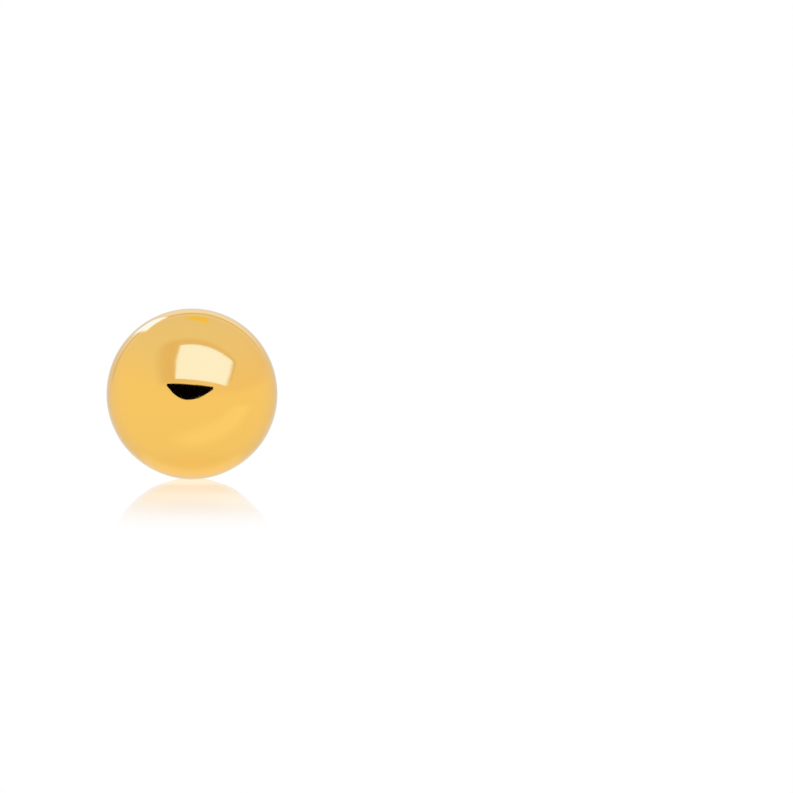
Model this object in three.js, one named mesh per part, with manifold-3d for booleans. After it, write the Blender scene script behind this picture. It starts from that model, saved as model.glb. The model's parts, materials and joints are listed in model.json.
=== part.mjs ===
// Ball stud earring: a polished ball soldered on a straight post, with a butterfly nut pushed on the post.
// Millimetres, +Z up. The stud lies on a table as it comes to rest by itself: on the underside of its ball
// and on the lower edge of the nut's plate. The ball looks along -Y, and the post runs back along +Y.
// The origin is on the table, under the middle of the whole stud.

import * as THREE from "three";
import { mergeVertices } from "three/addons/utils/BufferGeometryUtils.js";
import Module from "manifold-3d";

// Ball and post, measured along the post's axis from the middle of the ball.
const BALL_DIAMETER = 8.0;
const POST_DIAMETER = 0.9;
const POST_LENGTH = 11.0; // from the back of the ball to the tip
const SOLDER_RADIUS = 0.35; // of the hollow curve of solder around the foot of the post
const TIP_ROUNDING = 0.25;
const GROOVE_TO_TIP = 1.6; // from the deepest point of the groove
const GROOVE_WIDTH = 0.7;
const GROOVE_DEPTH = 0.08;

// Butterfly nut: one strip of sheet with a wide plate in the middle, and both ends rolled back to the post.
const NUT_CLEARANCE = 0.06; // between the nut and the post
const SHEET_THICKNESS = 0.35;
const STRIP_WIDTH = 3.0;
const ROLL_RADIUS = 1.25; // outside
const PLATE_WIDTH = 4.4;
const PLATE_HEIGHT = 4.6;
const PLATE_CORNER = 1.1;
const LEAD_IN = 0.15; // depth and extra radius of the hole's flared edge

// Facets.
const TURNED_SEGMENTS = 48;
const BALL_DIVISIONS = 24;
const CURVE_DIVISIONS = 6;
const ROLL_STEP = Math.PI / 15; // one facet of a roll
const ROLL_STEPS = 25; // in a whole roll, from the flat of the strip to its end
const PLATE_STEPS = 2; // of each roll that the plate's sides still reach over

// Worked out from the sizes above.
const ballRadius = BALL_DIAMETER / 2;
const postRadius = POST_DIAMETER / 2;
const tipY = ballRadius + POST_LENGTH;
const grooveY = tipY - GROOVE_TO_TIP;
const boreRadius = postRadius + NUT_CLEARANCE;
const rollCentreX = boreRadius + ROLL_RADIUS;
const plateFrontY = grooveY - ROLL_RADIUS; // so the rolls grip the post in its groove
const plateBackY = plateFrontY + SHEET_THICKNESS;

// The table touches the ball and the plate's lower back edge.
const restTilt =
  Math.asin(ballRadius / Math.hypot(plateBackY, PLATE_HEIGHT / 2)) -
  Math.atan2(PLATE_HEIGHT / 2, plateBackY);

// How far back the tip of the tilted post reaches.
const rearmost =
  (tipY - TIP_ROUNDING) * Math.cos(restTilt) +
  (postRadius - TIP_ROUNDING) * Math.sin(restTilt) +
  TIP_ROUNDING;

const wasm = await Module();
wasm.setup();

// A closed three.js geometry as a manifold-3d solid.
function solidOf(geometry) {
  const bare = geometry.clone();
  bare.deleteAttribute("normal");
  bare.deleteAttribute("uv");
  const merged = mergeVertices(bare, 1e-5);
  return new wasm.Manifold(
    new wasm.Mesh({
      numProp: 3,
      vertProperties: merged.attributes.position.array,
      triVerts: new Uint32Array(merged.index.array),
    }),
  );
}

// A manifold-3d solid as a three.js geometry with flat facets.
function geometryOf(solid) {
  const { vertProperties, triVerts } = solid.getMesh();
  const geometry = new THREE.BufferGeometry()
    .setAttribute("position", new THREE.BufferAttribute(vertProperties, 3))
    .setIndex(new THREE.BufferAttribute(triVerts, 1))
    .toNonIndexed();
  geometry.computeVertexNormals();
  return geometry;
}

// Points along an arc of a circle, turning the short way from one angle to the other.
function arcPoints(x, y, radius, from, to, divisions) {
  return new THREE.EllipseCurve(x, y, radius, radius, from, to, to < from).getPoints(divisions);
}

// The turned outline from the front of the ball to the tip of the post: x is the distance from the axis.
function studOutline() {
  const solderX = postRadius + SOLDER_RADIUS;
  const solderY = Math.sqrt((ballRadius + SOLDER_RADIUS) ** 2 - solderX ** 2);
  const solderAngle = Math.atan2(solderY, solderX);
  const grooveRadius = (GROOVE_DEPTH ** 2 + (GROOVE_WIDTH / 2) ** 2) / (2 * GROOVE_DEPTH);
  const grooveX = postRadius - GROOVE_DEPTH + grooveRadius;
  const grooveHalfAngle = Math.asin(GROOVE_WIDTH / 2 / grooveRadius);
  const tipX = postRadius - TIP_ROUNDING;
  const ball = arcPoints(0, 0, ballRadius, -Math.PI / 2, solderAngle, BALL_DIVISIONS);
  const solder = arcPoints(
    solderX, solderY, SOLDER_RADIUS, Math.PI + solderAngle, Math.PI, CURVE_DIVISIONS,
  );
  const groove = arcPoints(
    grooveX, grooveY, grooveRadius, Math.PI + grooveHalfAngle, Math.PI - grooveHalfAngle, CURVE_DIVISIONS,
  );
  const tip = arcPoints(tipX, tipY - TIP_ROUNDING, TIP_ROUNDING, 0, Math.PI / 2, CURVE_DIVISIONS);
  return [
    new THREE.Vector2(0, -ballRadius),
    ...ball.slice(1),
    ...solder.slice(1),
    ...groove,
    ...tip,
    new THREE.Vector2(0, tipY),
  ];
}

// Ball and post are soldered, so they are one solid.
function ballOnPost() {
  return new THREE.LatheGeometry(studOutline(), TURNED_SEGMENTS);
}

// The bent sheet seen from its edge, its front on y = 0, with this many facets of each roll, made this wide.
function bentSheet(steps, width) {
  const inner = ROLL_RADIUS - SHEET_THICKNESS;
  const start = -Math.PI / 2;
  const end = start + steps * ROLL_STEP;
  const rightSide = [
    ...arcPoints(rollCentreX, ROLL_RADIUS, ROLL_RADIUS, start, end, steps),
    ...arcPoints(rollCentreX, ROLL_RADIUS, inner, end, start, steps),
  ];
  const leftSide = rightSide.map(({ x, y }) => new THREE.Vector2(-x, y)).reverse();
  const outline = new THREE.Shape([...rightSide, ...leftSide]);
  return new THREE.ExtrudeGeometry(outline, { depth: width, bevelEnabled: false })
    .translate(0, 0, -width / 2);
}

// A block as deep as the nut with the outline that the plate has from the front.
function plateBlank() {
  const x = PLATE_WIDTH / 2 - PLATE_CORNER;
  const y = PLATE_HEIGHT / 2 - PLATE_CORNER;
  const outline = new THREE.Shape();
  outline.absarc(x, -y, PLATE_CORNER, -Math.PI / 2, 0, false);
  outline.absarc(x, y, PLATE_CORNER, 0, Math.PI / 2, false);
  outline.absarc(-x, y, PLATE_CORNER, Math.PI / 2, Math.PI, false);
  outline.absarc(-x, -y, PLATE_CORNER, Math.PI, 1.5 * Math.PI, false);
  outline.closePath();
  return new THREE.ExtrudeGeometry(outline, {
    depth: 2 * ROLL_RADIUS,
    bevelEnabled: false,
    curveSegments: CURVE_DIVISIONS,
  })
    .translate(0, 0, -ROLL_RADIUS)
    .rotateX(Math.PI / 2);
}

// The hole through the plate, flared where the post is pushed in.
function postHole() {
  const outline = [
    [0, -LEAD_IN],
    [boreRadius + 2 * LEAD_IN, -LEAD_IN],
    [boreRadius, LEAD_IN],
    [boreRadius, 2 * SHEET_THICKNESS],
    [0, 2 * SHEET_THICKNESS],
  ];
  return new THREE.LatheGeometry(
    outline.map(([x, y]) => new THREE.Vector2(x, y)),
    TURNED_SEGMENTS,
  );
}

// The nut with the front of its plate on y = 0 and the post's axis along y.
function butterflyNut() {
  const rolledStrip = solidOf(bentSheet(ROLL_STEPS, STRIP_WIDTH));
  const plate = solidOf(bentSheet(PLATE_STEPS, PLATE_HEIGHT)).intersect(solidOf(plateBlank()));
  return geometryOf(rolledStrip.add(plate).subtract(solidOf(postHole())));
}

const polishedGold = new THREE.MeshStandardMaterial({
  name: "polished_gold",
  color: "#f7c969",
  metalness: 1,
  roughness: 0.05,
});

const rolledGold = new THREE.MeshStandardMaterial({
  name: "rolled_gold",
  color: "#eec166",
  metalness: 1,
  roughness: 0.2,
});

function piece(name, geometry, material) {
  const mesh = new THREE.Mesh(geometry, material);
  mesh.name = name;
  return mesh;
}

const stud = piece("ball_and_post", ballOnPost(), polishedGold);
const nut = piece("butterfly_nut", butterflyNut(), rolledGold);
nut.position.y = plateFrontY;

const earring = new THREE.Group();
earring.add(stud, nut);
earring.rotation.x = -restTilt;
earring.position.set(0, (ballRadius - rearmost) / 2, ballRadius);

const group = new THREE.Group();
group.add(earring);

export default group;
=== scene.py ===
"""Ball stud earring: a mirror-polished gold ball on a post with a butterfly nut, and a white table for it."""

import json
from math import atan2, cos, pi, radians, sin, sqrt, tan

import bmesh
import bpy
from bpy.props import FloatProperty, FloatVectorProperty, IntProperty, PointerProperty
from mathutils import Euler, Matrix, Vector
from mathutils.geometry import interpolate_bezier


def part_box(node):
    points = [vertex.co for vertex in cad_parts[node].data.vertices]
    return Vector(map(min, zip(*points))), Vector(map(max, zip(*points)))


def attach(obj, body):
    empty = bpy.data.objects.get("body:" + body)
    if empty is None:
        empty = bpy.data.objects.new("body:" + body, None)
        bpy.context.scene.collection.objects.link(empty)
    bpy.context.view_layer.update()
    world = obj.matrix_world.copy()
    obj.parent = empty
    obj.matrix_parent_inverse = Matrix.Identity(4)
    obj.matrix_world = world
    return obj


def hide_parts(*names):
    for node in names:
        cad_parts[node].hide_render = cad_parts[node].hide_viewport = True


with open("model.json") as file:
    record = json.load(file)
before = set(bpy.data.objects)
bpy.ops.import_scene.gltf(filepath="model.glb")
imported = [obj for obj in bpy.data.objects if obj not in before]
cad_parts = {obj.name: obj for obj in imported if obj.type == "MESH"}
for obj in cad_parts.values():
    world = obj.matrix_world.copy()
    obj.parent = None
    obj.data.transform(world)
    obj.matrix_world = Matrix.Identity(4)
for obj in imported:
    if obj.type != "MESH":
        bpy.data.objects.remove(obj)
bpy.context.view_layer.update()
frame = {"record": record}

bl_info = {
    "name": "Ball Stud Earring",
    "version": (1, 0, 0),
    "blender": (4, 5, 0),
    "location": "3D View > Sidebar > Earring",
    "description": "Makes a polished ball stud with its post and butterfly nut, and a stage for it",
    "category": "Object",
}

MM = 0.001
MICRON = 0.000001

# The stud's own frame: its origin is the middle of the ball, and +Y runs back along the post.
STUD_LOW, STUD_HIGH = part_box("ball_and_post")
NUT_FACE = frame["record"]["mounts"][0]
BACK = -Vector(NUT_FACE["axis"]).normalized()
DIP = atan2(-BACK.z, BACK.y)
BALL_RADIUS = round((STUD_HIGH.x - STUD_LOW.x) / 2, 5)  # the frame's facets fall a hair short of it
BALL_CENTRE = Vector((0, STUD_LOW.y + BALL_RADIUS, BALL_RADIUS))
NUT_DEPTH = (Vector(NUT_FACE["pos_m"]) - BALL_CENTRE).dot(BACK)
STUD_TURN = Euler((-DIP, 0, 0))
STUD_PLACE = Matrix.LocRotScale(BALL_CENTRE, STUD_TURN, None)


# Node trees


class Value:
    """An output of a node. Arithmetic on it adds Math nodes to its tree."""

    def __init__(self, graph, socket):
        self.graph = graph
        self.socket = socket

    def math(self, operation, *terms):
        return self.graph.add("ShaderNodeMath", {"operation": operation}, dict(enumerate(terms)))

    def output(self, name):
        """Another output of the same node."""
        return Value(self.graph, self.socket.node.outputs[name])

    def __add__(self, other):
        return self.math("ADD", self, other)

    def __radd__(self, other):
        return self.math("ADD", other, self)

    def __sub__(self, other):
        return self.math("SUBTRACT", self, other)

    def __rsub__(self, other):
        return self.math("SUBTRACT", other, self)

    def __mul__(self, other):
        return self.math("MULTIPLY", self, other)

    def __rmul__(self, other):
        return self.math("MULTIPLY", other, self)

    def __truediv__(self, other):
        return self.math("DIVIDE", self, other)

    def __pow__(self, other):
        return self.math("POWER", self, other)

    def __neg__(self):
        return self.math("MULTIPLY", self, -1.0)

    def __abs__(self):
        return self.math("ABSOLUTE", self)

    def __gt__(self, other):
        return self.math("GREATER_THAN", self, other)

    def __lt__(self, other):
        return self.math("LESS_THAN", self, other)

    def sign(self):
        return self.math("SIGN", self)

    def sqrt(self):
        return self.math("SQRT", self)

    def sin(self):
        return self.math("SINE", self)

    def cos(self):
        return self.math("COSINE", self)

    def floor(self):
        return self.math("FLOOR", self)

    def at_least(self, other):
        return self.math("MAXIMUM", self, other)

    def at_most(self, other):
        return self.math("MINIMUM", self, other)

    def blended_maximum(self, other, width):
        return self.math("SMOOTH_MAX", self, other, width)

    def step(self, start, end):
        """Rises smoothly from 0 where this is start to 1 where it is end."""
        return self.graph.add(
            "ShaderNodeMapRange",
            {"interpolation_type": "SMOOTHSTEP"},
            {"Value": self, "From Min": start, "From Max": end},
        )


class Graph:
    """A node tree that is written as Python."""

    def __init__(self, tree):
        self.tree = tree

    def add(self, kind, settings=None, inputs=None):
        """Adds a node, sets its settings, then gives its inputs values or links. Returns its first output."""
        node = self.tree.nodes.new(kind)
        node.location = (180 * len(self.tree.nodes), 0)
        for name, value in (settings or {}).items():
            setattr(node, name, value)
        for key, value in (inputs or {}).items():
            self.feed(self.input_of(node, key), value)
        shown = [s for s in node.outputs if s.enabled]
        return Value(self, shown[0]) if shown else None

    @staticmethod
    def input_of(node, key):
        if isinstance(key, int):
            return node.inputs[key]
        return next(s for s in node.inputs if s.enabled and key in (s.name, s.identifier))

    def feed(self, socket, value):
        if isinstance(value, (list, tuple)) and value and isinstance(value[0], Value):
            for one in value:
                self.tree.links.new(one.socket, socket)
        elif isinstance(value, Value):
            self.tree.links.new(value.socket, socket)
        else:
            socket.default_value = value

    def vector(self, x, y, z):
        return self.add("ShaderNodeCombineXYZ", None, {"X": x, "Y": y, "Z": z})

    def parts(self, vector):
        x = self.add("ShaderNodeSeparateXYZ", None, {"Vector": vector})
        return x, x.output("Y"), x.output("Z")

    def length(self, vector):
        return self.add("ShaderNodeVectorMath", {"operation": "LENGTH"}, {0: vector}).output("Value")

    def mix(self, factor, first, second):
        """A colour between two colours."""
        return self.add(
            "ShaderNodeMix",
            {"data_type": "RGBA"},
            {"Factor_Float": factor, "A_Color": first, "B_Color": second},
        )

    def turned(self, vector, turn=(0, 0, 0), scale=(1, 1, 1)):
        """A place scaled along its axes, then turned."""
        return self.add(
            "ShaderNodeMapping", None, {"Vector": vector, "Rotation": turn, "Scale": scale}
        )

    def noise(self, place, scale, detail=2.0, roughness=0.5):
        return self.add(
            "ShaderNodeTexNoise",
            None,
            {"Vector": place, "Scale": scale, "Detail": detail, "Roughness": roughness},
        )


class Shader(Graph):
    """A material's node tree."""

    def __init__(self, name):
        self.material = bpy.data.materials.new(name)
        self.material.use_nodes = True
        super().__init__(self.material.node_tree)
        self.tree.nodes.clear()

    def place_on_stud(self):
        """Place on the piece in millimetres, in the stud's own frame."""
        return self.add(
            "ShaderNodeMapping",
            {"vector_type": "TEXTURE"},
            {
                "Vector": self.add("ShaderNodeTexCoord").output("Object"),
                "Location": BALL_CENTRE,
                "Rotation": STUD_TURN,
                "Scale": (MM, MM, MM),
            },
        )

    def place_on_sheet(self):
        """Place on the nut's sheet in millimetres, as it was before the sheet was rolled."""
        place = self.add("ShaderNodeAttribute", {"attribute_name": "flat_place"}).output("Vector")
        return self.turned(place, scale=(1 / MM, 1 / MM, 1 / MM))

    def first_bounce(self):
        """1 for a ray that has bounced once at most, 0 for one that has bounced more often."""
        return self.add("ShaderNodeLightPath").output("Ray Depth") < 1.5

    def light_where(self, mask, colour):
        """Shows this colour of light where mask is 1, and is clear where it is 0."""
        clear = self.add("ShaderNodeBsdfTransparent")
        light = self.add("ShaderNodeEmission", None, {"Color": colour, "Strength": 1.0})
        return self.finish(self.add("ShaderNodeMixShader", None, {0: mask, 1: clear, 2: light}))

    def plated_metal(self, finish, paler, roughness, normal):
        """Gold plating that turns to the solder's colour where paler is 1."""
        colour = self.mix(paler, (*finish.gold, 1), (*finish.solder, 1))
        metal = {
            "Base Color": colour,
            "Metallic": 1.0,
            "Roughness": roughness,
            "Specular Tint": (*finish.gold_edge, 1),
            "Normal": normal,
        }
        return self.finish(self.add("ShaderNodeBsdfPrincipled", None, metal))

    def bump(self, height, distance, normal=None):
        """A normal raised by height times distance, on top of another normal if one is given."""
        inputs = {"Height": height, "Distance": distance, "Strength": 1.0}
        if normal:
            inputs["Normal"] = normal
        return self.add("ShaderNodeBump", None, inputs)

    def finish(self, surface):
        self.add("ShaderNodeOutputMaterial", None, {"Surface": surface})
        return self.material


class Modifier(Graph):
    """A Geometry Nodes tree with named inputs, to be set on an object as a modifier."""

    KINDS = {
        float: "NodeSocketFloat",
        int: "NodeSocketInt",
        bpy.types.Material: "NodeSocketMaterial",
    }

    def __init__(self, name, **kinds):
        super().__init__(bpy.data.node_groups.new(name, "GeometryNodeTree"))
        self.tree.interface.new_socket("Geometry", in_out="INPUT", socket_type="NodeSocketGeometry")
        self.tree.interface.new_socket("Geometry", in_out="OUTPUT", socket_type="NodeSocketGeometry")
        self.identifiers = {
            key: self.tree.interface.new_socket(
                key.replace("_", " ").capitalize(), in_out="INPUT", socket_type=self.KINDS[kind]
            ).identifier
            for key, kind in kinds.items()
        }
        self.given = self.tree.nodes.new("NodeGroupInput")

    def __getitem__(self, key):
        """The value that the user gives for a named input."""
        identifier = self.identifiers[key]
        return Value(self, next(s for s in self.given.outputs if s.identifier == identifier))

    def geometry(self):
        return Value(self, self.given.outputs["Geometry"])

    def finish(self, geometry):
        solid = self.add("GeometryNodeRealizeInstances", None, {"Geometry": geometry})
        self.add("NodeGroupOutput", None, {0: solid})

    def run(self, name, mesh, place, **values):
        """Runs the tree on a mesh. Returns an object with the plain mesh that comes out, moved to place."""
        source = bpy.data.objects.new(name + "_source", mesh)
        bpy.context.scene.collection.objects.link(source)
        modifier = source.modifiers.new("tree", "NODES")
        modifier.node_group = self.tree
        for key, value in values.items():
            modifier[self.identifiers[key]] = value
        graph = bpy.context.evaluated_depsgraph_get()
        made = bpy.data.meshes.new_from_object(source.evaluated_get(graph), depsgraph=graph)
        made.name = name
        made.transform(place)
        if not made.materials[0]:
            made.materials.pop(index=0)
        bpy.data.objects.remove(source)
        piece = bpy.data.objects.new(name, made)
        bpy.context.scene.collection.objects.link(piece)
        return piece


# Sizes, finishes and stage that a user may change


def length_property(name, description, default):
    return FloatProperty(
        name=name,
        description=description,
        default=default,
        min=0.0,
        precision=5,
        subtype="DISTANCE",
        unit="LENGTH",
    )


def colour_property(name, description, default):
    return FloatVectorProperty(
        name=name, description=description, default=default, size=3, min=0.0, max=1.0, subtype="COLOR"
    )


def share_property(name, description, default):
    return FloatProperty(
        name=name, description=description, default=default, min=0.0, max=1.0, subtype="FACTOR"
    )


class EarringStud(bpy.types.PropertyGroup):
    """Sizes of the ball and the post."""

    ball_radius: length_property("Ball Radius", "Radius of the ball", BALL_RADIUS)
    post_radius: length_property("Post Radius", "Radius of the post", 0.45 * MM)
    post_end: length_property("Post End", "From the middle of the ball to the post's tip", 15.0 * MM)
    solder_radius: length_property("Solder Radius", "Of the hollow curve at the post's foot", 0.35 * MM)
    solder_unevenness: length_property("Solder Unevenness", "How far the solder strays", 0.05 * MM)
    tip_rounding: length_property("Tip Rounding", "Radius of the rounded edge of the tip", 0.25 * MM)
    groove_to_tip: length_property("Groove to Tip", "From the groove to the post's tip", 1.6 * MM)
    groove_width: length_property("Groove Width", "Width of the groove for the nut", 0.7 * MM)
    groove_depth: length_property("Groove Depth", "Depth of the groove for the nut", 0.08 * MM)
    segments: IntProperty(
        name="Segments", description="Facets around the ball and the post", default=256, min=8
    )


class EarringNut(bpy.types.PropertyGroup):
    """Sizes of the butterfly nut."""

    sheet_thickness: length_property("Sheet Thickness", "Thickness of the sheet", 0.35 * MM)
    strip_width: length_property("Strip Width", "Width of the rolled ends", 3.0 * MM)
    plate_width: length_property("Plate Width", "Width of the plate", 4.4 * MM)
    plate_height: length_property("Plate Height", "Height of the plate", 4.6 * MM)
    plate_corner: length_property("Plate Corner", "Radius of the plate's corners", 1.1 * MM)
    roll_radius: length_property("Roll Radius", "Outer radius of the rolls", 1.25 * MM)
    hole_radius: length_property("Hole Radius", "Radius of the hole for the post", 0.51 * MM)
    hole_flare: length_property("Hole Flare", "Depth and extra radius of the hole's edge", 0.15 * MM)
    edge_rounding: length_property("Edge Rounding", "Radius of the sheet's edges", 0.05 * MM)
    roll_angle: FloatProperty(
        name="Roll Angle", description="How far each end is rolled", default=radians(300), subtype="ANGLE"
    )


class EarringFinish(bpy.types.PropertyGroup):
    """Colours and polish of the gold."""

    gold: colour_property("Gold", "Colour of the plating", (0.93, 0.56, 0.118))
    gold_edge: colour_property("Edge Tint", "Tint of the gold seen at a grazing angle", (0.78, 0.78, 0.80))
    solder: colour_property("Solder", "Colour of the plated solder", (0.90, 0.58, 0.17))
    ball_roughness: share_property("Ball Roughness", "Roughness of the mirror polish", 0.04)
    post_roughness: share_property("Post Roughness", "Roughness of the drawn wire", 0.16)
    sheet_roughness: share_property("Sheet Roughness", "Roughness of the rolled sheet", 0.2)


class EarringStage(bpy.types.PropertyGroup):
    """Camera, table and light."""

    camera_distance: length_property("Camera Distance", "From the ball to the camera", 0.4)
    ball_share: share_property("Ball Share", "Width of the ball as a share of the picture's", 0.2157)
    aim_right: FloatProperty(
        name="Aim Right", description="How far right of the ball the camera aims, in pictures", default=0.2579
    )
    aim_down: FloatProperty(
        name="Aim Down", description="How far below the ball the camera aims, in pictures", default=0.0032
    )
    glow: share_property("Glow", "Share of the table's light that comes from below it", 0.84)
    polished_radius: length_property("Polished Radius", "How far the table is polished", 0.016)
    polish_roughness: share_property("Polish Roughness", "Roughness of the table's polish", 0.06)


# Metal finishes


def mirror_polish(finish):
    """Mirror polish: barely wavy, with a faint haze and hairlines in all directions."""
    shader = Shader("mirror_polish")
    place = shader.place_on_stud()
    haze = shader.noise(place, 0.7, 4.0, 0.6).step(0.35, 0.75)
    paler = shader.noise(place, 0.35, 3.0) * 0.25
    hairlines = 0.0
    for turn in ((0.3, 0.2, 0.9), (1.4, 0.5, 0.1), (0.8, 1.3, 2.0)):
        streaks = shader.noise(shader.turned(place, turn, (7.0, 0.5, 7.0)), 1.6, 3.0, 0.55)
        patch = shader.noise(shader.turned(place, turn), 0.5, 1.0).step(0.48, 0.66)
        hairlines = (1 - abs(streaks - 0.5).step(0.0, 0.012)) * patch + hairlines
    waves = shader.bump(shader.noise(place, 0.55, 2.0, 0.4), 14 * MICRON)
    normal = shader.bump(hairlines, -0.2 * MICRON, normal=waves)
    roughness = finish.ball_roughness + 0.02 * haze + 0.05 * hairlines
    return shader.plated_metal(finish, paler, roughness, normal)


def plated_solder(finish):
    """Solder that ran around the post's foot: paler and softly pitted under the plating."""
    shader = Shader("plated_solder")
    place = shader.place_on_stud()
    blotches = shader.noise(place, 4.0, 4.0, 0.6)
    pits = shader.noise(place, 22.0, 3.0, 0.6).step(0.25, 0.5)
    paler = blotches.step(0.3, 0.7) * 0.6
    normal = shader.bump(pits, 3 * MICRON, normal=shader.bump(blotches, 16 * MICRON))
    return shader.plated_metal(finish, paler, 0.14 + 0.16 * blotches, normal)


def drawn_wire(finish, stud):
    """Drawn wire: fine lines along the post, with turned lines in the groove and on the tip."""
    shader = Shader("drawn_wire")
    place = shader.place_on_stud()
    along = shader.noise(shader.turned(place, scale=(26, 0.6, 26)), 1.0, 4.0, 0.65)
    around = shader.noise(shader.turned(place, scale=(1, 40, 1)), 1.0, 3.0, 0.6)
    handled = shader.noise(place, 1.3, 3.0, 0.6)
    groove = (stud.post_end - stud.groove_to_tip) / MM
    _, down_post, _ = shader.parts(place)
    near_groove = 1 - abs(down_post - groove).step(0.25, 0.4)
    on_tip = down_post.step((stud.post_end - stud.tip_rounding) / MM, stud.post_end / MM)
    turned = near_groove.at_least(on_tip)
    lines = along * (1 - turned) + around * turned
    paler = handled.step(0.3, 0.8) * 0.5
    roughness = finish.post_roughness * (0.6 + 0.5 * handled + 0.4 * lines)
    return shader.plated_metal(finish, paler, roughness, shader.bump(lines, 3 * MICRON))


def rolled_sheet(finish):
    """Rolled sheet: fine lines along the strip that follow its bend, pressed marks and a rubbed sheen."""
    shader = Shader("rolled_sheet")
    flat = shader.place_on_sheet()
    lines = shader.noise(shader.turned(flat, scale=(0.7, 30, 4)), 1.0, 4.0, 0.65)
    rubbed = shader.noise(flat, 0.9, 3.0, 0.55).step(0.35, 0.7)
    pressed = shader.noise(flat, 2.2, 2.0, 0.5)
    roughness = finish.sheet_roughness * (0.5 + 0.5 * rubbed + 0.5 * lines)
    normal = shader.bump(lines, 2 * MICRON, normal=shader.bump(pressed, 12 * MICRON))
    return shader.plated_metal(finish, rubbed * 0.5, roughness, normal)


def sheared_edge(finish):
    """The sheet's cut edges: short lines through the thickness."""
    shader = Shader("sheared_edge")
    flat = shader.place_on_sheet()
    lines = shader.noise(shader.turned(flat, scale=(34, 34, 1.5)), 1.0, 3.0, 0.6)
    torn = shader.noise(flat, 14.0, 3.0, 0.6)
    return shader.plated_metal(finish, torn * 0.8, 0.22 + 0.2 * torn, shader.bump(lines, 5 * MICRON))


# Ball and post


def arc_points(x, y, radius, start, end, count):
    """Points on an arc from one angle to another."""
    angles = (start + (end - start) * i / count for i in range(count + 1))
    return [(x + radius * cos(a), y + radius * sin(a)) for a in angles]


def solder_centre(stud):
    """The middle of the solder's hollow curve: distance from the axis, place along it."""
    x = stud.post_radius + stud.solder_radius
    return x, sqrt((stud.ball_radius + stud.solder_radius) ** 2 - x**2)


def stud_outline(stud):
    """The turned outline from the front of the ball to the tip: distance from the axis, place along it."""
    foot_x, foot_y = solder_centre(stud)
    foot_angle = atan2(foot_y, foot_x)
    groove_radius = (stud.groove_depth**2 + (stud.groove_width / 2) ** 2) / (2 * stud.groove_depth)
    groove_x = stud.post_radius - stud.groove_depth + groove_radius
    groove_y = stud.post_end - stud.groove_to_tip
    groove_half = atan2(stud.groove_width / 2, groove_radius - stud.groove_depth)
    tip_x = stud.post_radius - stud.tip_rounding
    tip_y = stud.post_end - stud.tip_rounding
    outline = arc_points(0, 0, stud.ball_radius, -pi / 2, foot_angle, stud.segments // 2)
    outline[0] = (0, -stud.ball_radius)
    outline += arc_points(foot_x, foot_y, stud.solder_radius, pi + foot_angle, pi, 24)[1:]
    outline += arc_points(groove_x, groove_y, groove_radius, pi + groove_half, pi - groove_half, 16)
    outline += arc_points(tip_x, tip_y, stud.tip_rounding, 0, pi / 2, 16)
    outline.append((0, stud.post_end))
    return outline


def turned_tree():
    """Turns the outline that it is given around Y, and makes the solder at the post's foot uneven."""
    tree = Modifier(
        "turned_piece",
        segments=int,
        ball_end=float,
        solder_start=float,
        solder_end=float,
        solder_unevenness=float,
        ball_finish=bpy.types.Material,
        solder_finish=bpy.types.Material,
        post_finish=bpy.types.Material,
    )
    outline = tree.geometry()
    rows = tree.add("GeometryNodeAttributeDomainSize", {"component": "MESH"}, {"Geometry": outline})
    grid = tree.add(
        "GeometryNodeMeshGrid", None, {"Vertices X": tree["segments"] + 1, "Vertices Y": rows}
    )
    index = tree.add("GeometryNodeInputIndex")
    column = (index / rows).floor()
    point = tree.add(
        "GeometryNodeSampleIndex",
        {"data_type": "FLOAT_VECTOR"},
        {
            "Geometry": outline,
            "Value": tree.add("GeometryNodeInputPosition"),
            "Index": index - column * rows,
        },
    )
    radius, along, _ = tree.parts(point)
    angle = column / tree["segments"] * (2 * pi)
    solder = along.step(tree["solder_start"], tree["ball_end"])
    solder = solder * (1 - along.step(tree["ball_end"], tree["solder_end"]))
    spread = tree.noise(tree.vector(angle.sin(), along / MM, angle.cos()), 1.7, 2.0) - 0.5
    radius = radius + solder * spread * tree["solder_unevenness"]
    turned = tree.add(
        "GeometryNodeSetPosition",
        None,
        {"Geometry": grid, "Position": tree.vector(radius * angle.sin(), along, radius * angle.cos())},
    )
    closed = tree.add(
        "GeometryNodeMergeByDistance", None, {"Geometry": turned, "Distance": 0.1 * MICRON}
    )
    finished = tree.add("GeometryNodeSetShadeSmooth", None, {"Geometry": closed})
    place = tree.parts(tree.add("GeometryNodeInputPosition"))[1]
    for start, key in ((None, "ball_finish"), ("ball_end", "solder_finish"), ("solder_end", "post_finish")):
        inputs = {"Geometry": finished, "Material": tree[key]}
        if start:
            inputs["Selection"] = place > tree[start]
        finished = tree.add("GeometryNodeSetMaterial", None, inputs)
    tree.finish(finished)
    return tree


class EARRING_OT_add_ball_and_post(bpy.types.Operator):
    """Makes the ball and the post soldered to it, as one turned piece"""

    bl_idname = "earring.add_ball_and_post"
    bl_label = "Ball and Post"

    def execute(self, context):
        stud = context.scene.earring_stud
        finish = context.scene.earring_finish
        outline = bpy.data.meshes.new("stud_outline")
        outline.from_pydata([(x, y, 0) for x, y in stud_outline(stud)], [], [])
        _, solder_end = solder_centre(stud)
        ball_end = solder_end * stud.ball_radius / (stud.ball_radius + stud.solder_radius)
        piece = turned_tree().run(
            "ball_on_post",
            outline,
            STUD_PLACE,
            segments=stud.segments,
            ball_end=ball_end,
            solder_start=ball_end - stud.solder_radius,
            solder_end=solder_end,
            solder_unevenness=stud.solder_unevenness,
            ball_finish=mirror_polish(finish),
            solder_finish=plated_solder(finish),
            post_finish=drawn_wire(finish, stud),
        )
        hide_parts("ball_and_post")
        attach(piece, "root")
        return {"FINISHED"}


# Butterfly nut


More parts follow.
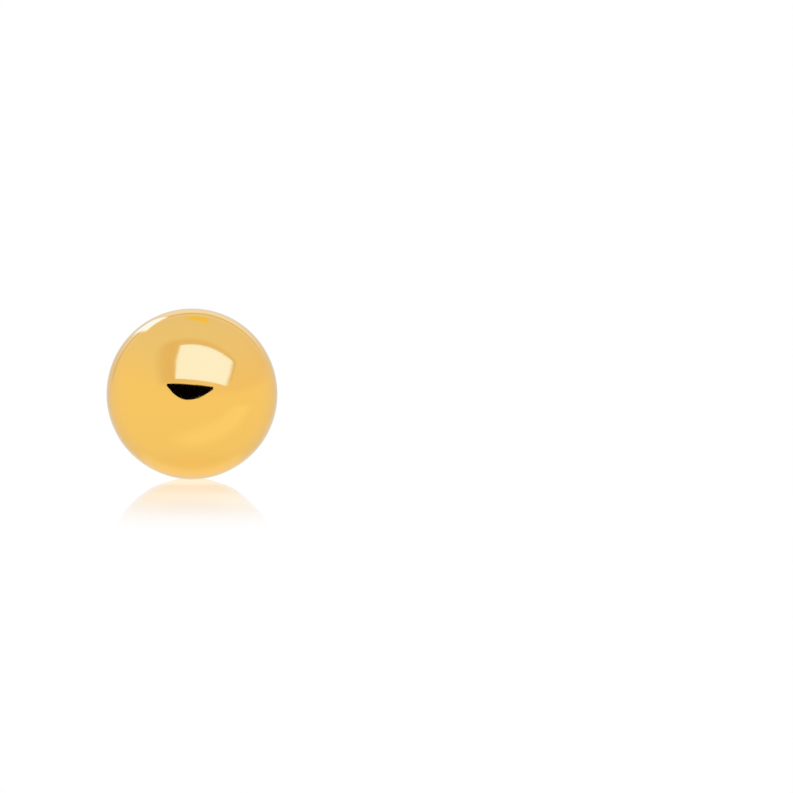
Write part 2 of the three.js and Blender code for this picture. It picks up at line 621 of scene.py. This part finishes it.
def bent_sheet_tree():
    """Cuts the nut's outline from a flat strip, drills it, and rolls both ends back to the post."""
    tree = Modifier(
        "bent_sheet",
        sheet_thickness=float,
        strip_width=float,
        plate_width=float,
        plate_height=float,
        plate_corner=float,
        edge_rounding=float,
        hole_radius=float,
        hole_flare=float,
        flat_half_width=float,
        roll_radius=float,
        roll_angle=float,
        plate_depth=float,
        columns=int,
        sheet_finish=bpy.types.Material,
        edge_finish=bpy.types.Material,
    )
    half_length = tree["flat_half_width"] + tree["roll_radius"] * tree["roll_angle"]
    line = tree.add(
        "GeometryNodeCurvePrimitiveLine",
        None,
        {"Start": tree.vector(-half_length, 0, 0), "End": tree.vector(half_length, 0, 0)},
    )
    line = tree.add("GeometryNodeResampleCurve", None, {"Curve": line, "Count": tree["columns"]})
    section = tree.add("GeometryNodeMeshToCurve", None, {"Mesh": tree.geometry()})
    strip = tree.add(
        "GeometryNodeCurveToMesh", None, {"Curve": line, "Profile Curve": section, "Fill Caps": True}
    )
    strip = tree.add(
        "GeometryNodeSetPosition", None, {"Geometry": strip, "Position": blank_outline(tree, half_length)}
    )
    drilled = tree.add(
        "GeometryNodeMeshBoolean",
        {"operation": "DIFFERENCE", "solver": "MANIFOLD"},
        {"Mesh 1": strip, "Mesh 2": hole_cutters(tree)},
    )
    drilled = tree.add(
        "GeometryNodeMergeByDistance", None, {"Geometry": drilled, "Distance": 0.5 * MICRON}
    )
    place = tree.add("GeometryNodeInputPosition")
    drilled = tree.add(
        "GeometryNodeStoreNamedAttribute",
        {"data_type": "FLOAT_VECTOR", "domain": "POINT"},
        {"Geometry": drilled, "Name": "flat_place", "Value": place},
    )
    facing = tree.parts(tree.add("GeometryNodeInputNormal"))[2]
    sheet = tree.add("GeometryNodeSetMaterial", None, {"Geometry": drilled, "Material": tree["sheet_finish"]})
    sheet = tree.add(
        "GeometryNodeSetMaterial",
        None,
        {"Geometry": sheet, "Selection": abs(facing) < 0.5, "Material": tree["edge_finish"]},
    )
    bent = tree.add("GeometryNodeSetPosition", None, {"Geometry": sheet, "Position": bend(tree)})
    corner = tree.add("GeometryNodeInputMeshEdgeAngle") > radians(35)
    bent = tree.add("GeometryNodeSetShadeSmooth", {"domain": "FACE"}, {"Geometry": bent})
    bent = tree.add(
        "GeometryNodeSetShadeSmooth",
        {"domain": "EDGE"},
        {"Geometry": bent, "Selection": corner, "Shade Smooth": False},
    )
    tree.finish(bent)
    return tree


def blank_outline(tree, half_length):
    """Widens the strip's middle to the plate, and rounds the edges of its two ends."""
    along, across, through = tree.parts(tree.add("GeometryNodeInputPosition"))
    half_strip = tree["strip_width"] / 2
    corner = tree["plate_corner"]
    past = (abs(along) - (tree["plate_width"] / 2 - corner)).at_least(0)
    lobe = tree["plate_height"] / 2 - corner + (corner * corner - past * past).at_least(0).sqrt()
    half_width = lobe.blended_maximum(half_strip, 0.25 * MM)
    rounding = tree["edge_rounding"]
    flat = across.at_most(half_strip - rounding).at_least(rounding - half_strip)
    widened = flat * (half_width - half_strip) / (half_strip - rounding)
    from_end = (half_length - abs(along)).at_most(rounding)
    inset = rounding - (rounding * rounding - (rounding - from_end) ** 2).at_least(0).sqrt()
    return tree.vector(
        along,
        across + widened - across.sign() * inset,
        through - through.sign() * inset,
    )


def hole_cutters(tree):
    """A drill and the flare of the hole's front edge."""
    thickness = tree["sheet_thickness"]
    flare = tree["hole_flare"]
    drill = tree.add(
        "GeometryNodeMeshCylinder",
        None,
        {"Vertices": 96, "Radius": tree["hole_radius"], "Depth": thickness * 3},
    )
    cone = tree.add(
        "GeometryNodeMeshCone",
        None,
        {
            "Vertices": 96,
            "Radius Top": tree["hole_radius"] * 0.98,
            "Radius Bottom": tree["hole_radius"] + flare * 2,
            "Depth": flare * 2,
        },
    )
    cone = tree.add(
        "GeometryNodeTransform",
        None,
        {"Geometry": cone, "Translation": tree.vector(0, 0, -(thickness / 2) - flare)},
    )
    return [drill, cone]


def bend(tree):
    """Where each point of the flat strip goes: straight back over the plate, then around the rolls."""
    along, across, through = tree.parts(tree.add("GeometryNodeInputPosition"))
    radius = tree["roll_radius"]
    flat = tree["flat_half_width"]
    angle = (abs(along) - flat).at_least(0) / radius
    inner = radius - (through + tree["sheet_thickness"] / 2)
    x = along.sign() * (abs(along).at_most(flat) + inner * angle.sin())
    depth = radius - inner * angle.cos() + tree["plate_depth"]
    return tree.vector(x, depth, -across)


def sheet_section(width, thickness, rounding):
    """The strip's cross-section as a closed mesh of edges, with rows of points across its two flat sides."""
    x = width / 2 - rounding
    y = thickness / 2 - rounding
    rows = 16
    section = []
    for side in (1, -1):
        start = pi / 2 * (2 - side)
        section += [(side * x * cos(pi * i / rows), side * thickness / 2) for i in range(1, rows)]
        section += arc_points(-side * x, side * y, rounding, start, start + pi / 2, 5)
        section += arc_points(-side * x, -side * y, rounding, start + pi / 2, start + pi, 5)
    count = len(section)
    mesh = bpy.data.meshes.new("sheet_section")
    mesh.from_pydata([(x, y, 0) for x, y in section], [(i, (i + 1) % count) for i in range(count)], [])
    return mesh


class EARRING_OT_add_butterfly_nut(bpy.types.Operator):
    """Makes the butterfly nut: one strip of sheet with a plate and two rolls"""

    bl_idname = "earring.add_butterfly_nut"
    bl_label = "Butterfly Nut"

    def execute(self, context):
        nut = context.scene.earring_nut
        finish = context.scene.earring_finish
        column = 0.03 * MM
        flat_half_width = nut.hole_radius + nut.roll_radius
        length = 2 * (flat_half_width + nut.roll_radius * nut.roll_angle)
        piece = bent_sheet_tree().run(
            "butterfly_nut_sheet",
            sheet_section(nut.strip_width, nut.sheet_thickness, nut.edge_rounding),
            STUD_PLACE,
            sheet_thickness=nut.sheet_thickness,
            strip_width=nut.strip_width,
            plate_width=nut.plate_width,
            plate_height=nut.plate_height,
            plate_corner=nut.plate_corner,
            edge_rounding=nut.edge_rounding,
            hole_radius=nut.hole_radius,
            hole_flare=nut.hole_flare,
            flat_half_width=flat_half_width,
            roll_radius=nut.roll_radius,
            roll_angle=nut.roll_angle,
            plate_depth=NUT_DEPTH,
            columns=round(length / column),
            sheet_finish=rolled_sheet(finish),
            edge_finish=sheared_edge(finish),
        )
        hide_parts("butterfly_nut")
        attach(piece, "root")
        return {"FINISHED"}


# Stage

# Light as the gold and the table mirror it.
WHITE = (1, 1, 1, 1)
TENT_RIGHT = (0.965, 0.915, 0.97, 1)
TENT_TOP = (0.9, 0.955, 1.25, 1)
TENT_BEHIND = (1.18, 1.27, 1.4, 1)
TABLE_BAND = (1.06, 1.1, 1.12, 1)
TABLE_FOOT = (1.26, 1.3, 1.24, 1)

CARD_DISTANCE = 0.3


def direction(azimuth, elevation):
    """A direction from the ball, in degrees: azimuth from straight ahead of it, -Y, towards +X."""
    a = radians(azimuth)
    e = radians(elevation)
    return Vector((sin(a) * cos(e), -cos(a) * cos(e), sin(e)))


def stage_object(name, mesh, material):
    mesh.materials.append(material)
    made = bpy.data.objects.new(name, mesh)
    bpy.context.scene.collection.objects.link(made)
    return made


def mirrored_object(name, mesh, material):
    """Puts a mesh on the stage that nothing but a reflection shows."""
    made = stage_object(name, mesh, material)
    made.visible_camera = False
    made.visible_diffuse = False
    made.visible_shadow = False


def card(name, toward, material, distance=CARD_DISTANCE):
    """A card around the ball, out where toward(across, up) points, with a UV map from edge to edge."""
    divisions = 32
    shape = bmesh.new()
    shape.loops.layers.uv.new("UVMap")
    bmesh.ops.create_grid(shape, x_segments=divisions, y_segments=divisions, size=1, calc_uvs=True)
    for vertex in shape.verts:
        across = (vertex.co.x + 1) / 2
        up = (vertex.co.y + 1) / 2
        vertex.co = BALL_CENTRE + toward(across, up).normalized() * distance
    mesh = bpy.data.meshes.new(name)
    shape.to_mesh(mesh)
    shape.free()
    mirrored_object(name, mesh, material)


def between(low_left, low_right, top_right, top_left):
    """Directions between four corners, each an azimuth and an elevation, named as the ball mirrors them."""
    low = (direction(*low_left), direction(*low_right))
    top = (direction(*top_left), direction(*top_right))
    return lambda across, up: low[0].lerp(low[1], across).lerp(top[0].lerp(top[1], across), up)


def arch_behind(inner, outer, start, end):
    """Directions on an arch over the line of the post, in degrees: inner to outer away from that line, and
    start to end around it."""

    def toward(across, up):
        around = radians(start + (end - start) * across)
        away = radians(inner + (outer - inner) * up)
        aside = Vector((cos(around), 0, sin(around)))
        return STUD_TURN.to_matrix() @ (Vector((0, cos(away), 0)) + aside * sin(away))

    return toward


def card_light(name, colour, left=0.0, right=0.0, low=0.0, top=0.0):
    """Light that only first reflections show. It fades over these shares of the card at its edges."""
    shader = Shader(name)
    across, up, _ = shader.parts(shader.add("ShaderNodeTexCoord").output("UV"))
    mask = shader.first_bounce()
    for place, width in ((across, left), (1 - across, right), (up, low), (1 - up, top)):
        if width:
            mask = mask * place.step(0.0, width)
    return shader.light_where(mask, (*colour, 1))


def lens_opening():
    """The dark opening for the lens, as far ahead of the ball as the cards: a flat top and a round belly."""
    left = Vector((-0.208, 0, 0.070))
    right = Vector((0.167, 0, 0.037))
    top_left = left + Vector((0.002, 0, 0.014))
    top_right = right + Vector((-0.001, 0, 0.017))
    belly = interpolate_bezier(left, Vector((-0.078, 0, -0.077)), Vector((-0.006, 0, -0.074)), right, 48)
    outline = [top_right, top_left, *belly]
    ahead = STUD_PLACE @ Matrix.Translation((0, -CARD_DISTANCE, 0))
    mesh = bpy.data.meshes.new("lens_opening")
    mesh.from_pydata([ahead @ point for point in outline], [], [range(len(outline))])
    mirrored_object("lens_opening", mesh, card_light("lens_dark", (0, 0, 0)))


def add_cards():
    """The lights, the lens opening and the parts of the tent that the ball mirrors."""
    softbox = card_light("softbox_light", (1.06, 1.5, 4.2), left=0.07, right=0.12, low=0.04, top=0.05)
    card("softbox", between((-27.3, 25.7), (50.7, 13.2), (78.6, 36.5), (-54.4, 72.1)), softbox)
    # Painted shade: a dimmer grey card around the softbox, which the ball mirrors as a darker border beside
    # the window.
    softbox_shade = card_light("housing_grey", (0.85, 0.81, 0.86), left=0.25, right=0.05, low=0.2, top=0.2)
    card("softbox_shade", between((-48, 9.5), (54.4, 15), (85.7, 36.6), (-98.6, 52.7)), softbox_shade, distance=0.4)
    lens_opening()
    rim = card_light("rim_light", (1.2, 1.8, 4.1), left=0.08, right=0.16, low=0.16, top=0.1)
    card("rim_panel", between((-160, 10.4), (-143.6, 34.1), (-168.4, 32), (-167, 16.6)), rim)
    amber = card_light("amber_light", (1.02, 0.93, 0.3), left=0.45, right=0.1, low=0.15, top=0.1)
    card("amber_card", between((-168.9, 52.5), (157.2, 55.6), (166.4, 42.1), (-172.6, 41.3)), amber)
    seam = card_light("seam_grey", (0.8, 0.8, 0.8), left=0.15, right=0.15, low=0.5, top=0.5)
    card("tent_seam", arch_behind(inner=36, outer=45, start=15, end=185), seam, distance=0.35)


def add_nut_screen():
    """A slip of painted light in the tent's colour, just ahead of the nut, face-on to what the table mirrors
    from straight ahead.

    It is masked by the angle that it is seen at: first reflections within 18 degrees of face-on show it. From
    ahead it hides the nut's mirror image on the table. From behind it is a pale disc in the ball's back.
    """
    shader = Shader("screen_white")
    front = 1 - shader.add("ShaderNodeNewGeometry").output("Backfacing")
    face_on = shader.add("ShaderNodeLayerWeight", None, {"Blend": 0.5}).output("Facing") < 0.05
    # Painted light: the slip shows the tent's light in place of the nut's mirror image.
    material = shader.light_where(shader.first_bounce() * front * face_on, TENT_BEHIND)
    nut_low, nut_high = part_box("butterfly_nut")
    margin = 0.6 * MM
    side = nut_high.x + margin
    foot = nut_low.y - margin
    height = nut_high.z + margin
    top = foot - height * tan(DIP)
    corners = [(-side, foot, 0), (side, foot, 0), (side, top, height), (-side, top, height)]
    mesh = bpy.data.meshes.new("nut_screen")
    mesh.from_pydata(corners, [], [(0, 1, 2, 3)])
    mirrored_object("nut_screen", mesh, material)


def band_of_light(x, ahead):
    """A soft band across the table ahead of the ball, which widens to the right."""
    start = 4.0 * MM
    width = 2.8 * MM + 0.33 * x
    across = (ahead - start) / width
    band = across.step(-0.15, 0.4) * (1 - across.step(0.5, 1.6))
    return band * x.step(-3.5 * MM, 0.5 * MM) * (1 - x.step(15 * MM, 30 * MM))


def light_at_foot(shader, x, ahead):
    """A bright spot behind the place where the ball touches the table, and a fainter one under the ball."""
    from_spot = shader.length(shader.vector(x, ahead + 2 * MM, 0))
    behind = (1 - from_spot.step(1.5 * MM, 5 * MM)) * (1 - ahead.step(-0.5 * MM, 0.5 * MM))
    from_ball = shader.length(shader.vector(0.55 * x, ahead - 0.3 * MM, 0))
    under = 1 - from_ball.step(1.0 * MM, 2.3 * MM)
    return behind.at_least(0.85 * under)


def opal_table(stage):
    """Opal glass that is lit from below, a little more around the ball, and polished around the stud."""
    shader = Shader("opal_glass")
    x, y, _ = shader.parts(shader.add("ShaderNodeTexCoord").output("Object"))
    from_stud = shader.length(shader.vector(x, (abs(y) + BALL_CENTRE.y).at_least(0), 0))
    polish = 1 - from_stud.step(stage.polished_radius * 0.2, stage.polished_radius)
    ahead = BALL_CENTRE.y - y
    light = shader.mix(band_of_light(x, ahead), WHITE, TABLE_BAND)
    light = shader.mix(light_at_foot(shader, x, ahead), light, TABLE_FOOT)
    return shader.finish(
        shader.add(
            "ShaderNodeBsdfPrincipled",
            None,
            {
                "Base Color": (1 - stage.glow, 1 - stage.glow, 1 - stage.glow, 1),
                "Roughness": 1.0,
                "Specular IOR Level": 0.0,
                "Coat Weight": polish,
                "Coat Roughness": stage.polish_roughness,
                "Coat IOR": 1.6,
                "Emission Color": light,
                "Emission Strength": stage.glow,
            },
        )
    )


def add_table(stage):
    half = 3.0
    corners = [(-half, -half, 0), (half, -half, 0), (half, half, 0), (-half, half, 0)]
    mesh = bpy.data.meshes.new("table")
    mesh.from_pydata(corners, [], [(0, 1, 2, 3)])
    stage_object("table", mesh, opal_table(stage))


def add_tent():
    """A white tent. In reflections it is cooler overhead, darker on the right and lighter behind."""
    world = bpy.data.worlds.new("white_tent")
    world.use_nodes = True
    graph = Graph(world.node_tree)
    graph.tree.nodes.clear()
    mirrored = graph.add("ShaderNodeLightPath").output("Is Glossy Ray")
    x, y, z = graph.parts(graph.add("ShaderNodeTexCoord").output("Generated"))
    right = x.step(0.1, 0.9) * z.step(0.0, 0.22)
    behind = (y * BACK.y + z * BACK.z).step(0.64, 0.84) * z.step(0.05, 0.35)
    colour = graph.mix(right, WHITE, TENT_RIGHT)
    colour = graph.mix(z.step(0.1, 0.95), colour, TENT_TOP)
    colour = graph.mix(behind, colour, TENT_BEHIND)
    colour = graph.mix(mirrored, WHITE, colour)
    light = graph.add("ShaderNodeBackground", None, {"Color": colour, "Strength": 1.0})
    graph.add("ShaderNodeOutputWorld", None, {"Surface": light})
    bpy.context.scene.world = world


def add_camera(stage):
    """A long lens that looks straight along the post, with the ball to the left of the picture's middle."""
    camera = bpy.data.cameras.new("camera")
    picture = 2 * tan(BALL_RADIUS / stage.camera_distance) / stage.ball_share
    camera.lens = camera.sensor_width / picture
    camera.clip_start = 0.01
    camera.clip_end = 10.0
    made = bpy.data.objects.new("camera", camera)
    bpy.context.scene.collection.objects.link(made)
    looking = BACK.to_track_quat("-Z", "Y")
    aim = Euler((-atan2(stage.aim_down * picture, 1), -atan2(stage.aim_right * picture, 1), 0))
    made.matrix_world = (
        Matrix.Translation(BALL_CENTRE - BACK * stage.camera_distance)
        @ looking.to_matrix().to_4x4()
        @ aim.to_matrix().to_4x4()
    )
    bpy.context.scene.camera = made


class EARRING_OT_add_stage(bpy.types.Operator):
    """Makes the camera, the white table and tent, and the cards that the gold mirrors"""

    bl_idname = "earring.add_stage"
    bl_label = "Stage"

    def execute(self, context):
        stage = context.scene.earring_stage
        context.scene.view_settings.view_transform = "Standard"
        add_camera(stage)
        add_tent()
        add_table(stage)
        add_cards()
        add_nut_screen()
        return {"FINISHED"}


class EARRING_PT_panel(bpy.types.Panel):
    """Lists the earring's settings and what makes each piece"""

    bl_label = "Ball Stud Earring"
    bl_space_type = "VIEW_3D"
    bl_region_type = "UI"
    bl_category = "Earring"

    def draw(self, context):
        sections = (
            (context.scene.earring_stud, EARRING_OT_add_ball_and_post),
            (context.scene.earring_nut, EARRING_OT_add_butterfly_nut),
            (context.scene.earring_finish, None),
            (context.scene.earring_stage, EARRING_OT_add_stage),
        )
        for settings, operator in sections:
            box = self.layout.box()
            for name in settings.__annotations__:
                box.prop(settings, name)
            if operator:
                box.operator(operator.bl_idname)


CLASSES = (
    EarringStud,
    EarringNut,
    EarringFinish,
    EarringStage,
    EARRING_OT_add_ball_and_post,
    EARRING_OT_add_butterfly_nut,
    EARRING_OT_add_stage,
    EARRING_PT_panel,
)
SETTINGS = {
    "earring_stud": EarringStud,
    "earring_nut": EarringNut,
    "earring_finish": EarringFinish,
    "earring_stage": EarringStage,
}


def register():
    for cls in CLASSES:
        bpy.utils.register_class(cls)
    for name, group in SETTINGS.items():
        setattr(bpy.types.Scene, name, PointerProperty(type=group))


def unregister():
    for name in SETTINGS:
        delattr(bpy.types.Scene, name)
    for cls in reversed(CLASSES):
        bpy.utils.unregister_class(cls)


def main():
    register()
    bpy.ops.earring.add_stage()
    bpy.ops.earring.add_ball_and_post()
    bpy.ops.earring.add_butterfly_nut()


if __name__ == "__main__":
    main()
